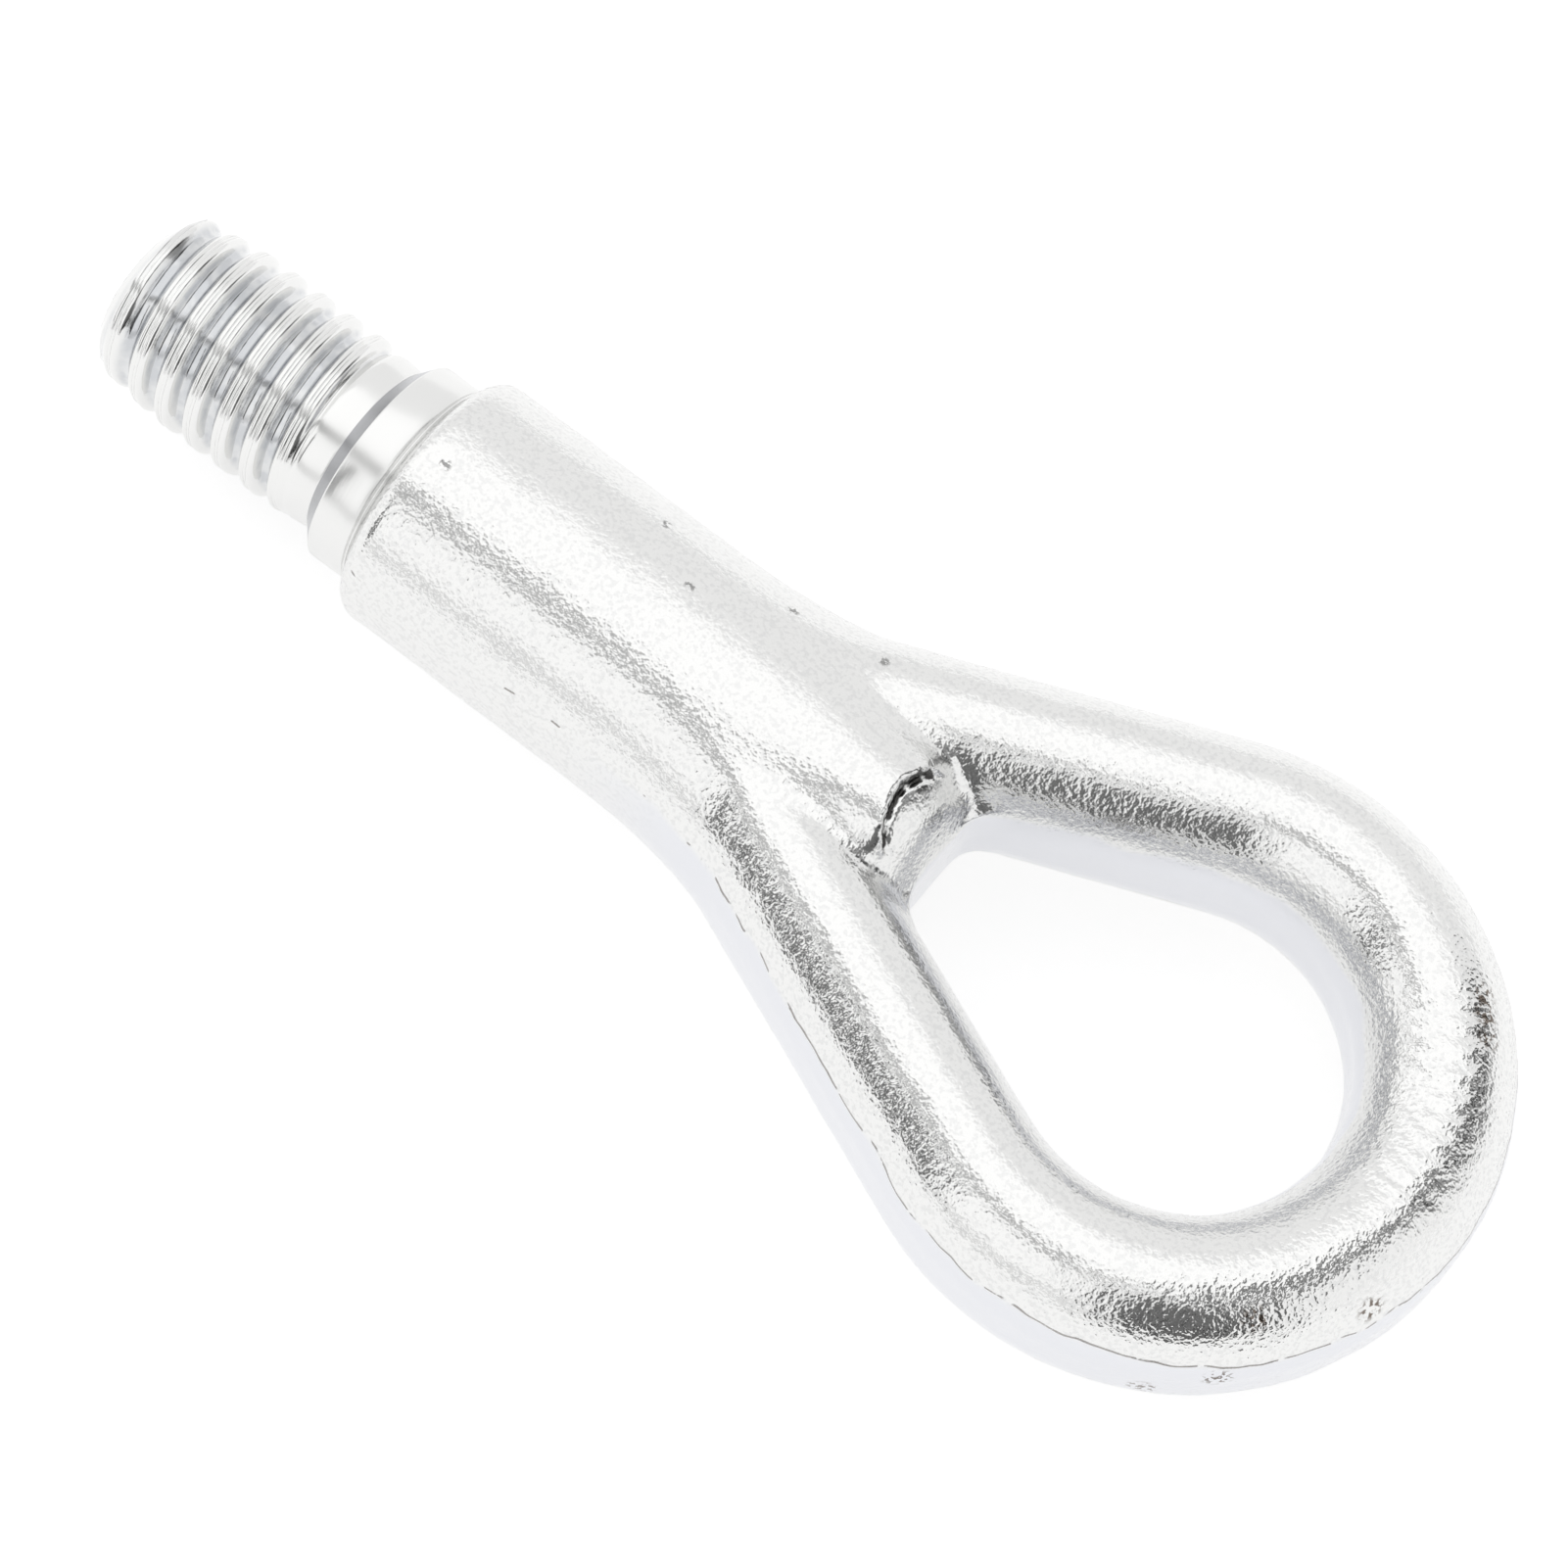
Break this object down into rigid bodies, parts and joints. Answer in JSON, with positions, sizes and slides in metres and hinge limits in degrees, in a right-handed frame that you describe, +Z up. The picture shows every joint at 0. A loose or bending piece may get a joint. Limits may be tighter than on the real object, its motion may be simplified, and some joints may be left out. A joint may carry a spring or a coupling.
{
  "type": "tow eye",
  "caption": "One-piece forged steel tow eye: a teardrop loop on a round shank with a pilot collar and a coarse rolled screw thread.",
  "frame": {"origin": "centre of the shoulder, where the pilot collar meets the shank", "axes": "+X along the shank towards the eye, the thread tip is towards -X; the eye lies in the XY plane; +Z is up, across the thin way of the part"},
  "size_m": [0.1427, 0.0582, 0.025],
  "materials": {
    "zinc_plated_steel": "satin"
  },
  "bodies": {
    "root": {"tow_eye": "zinc_plated_steel"}
  },
  "joints": []
}
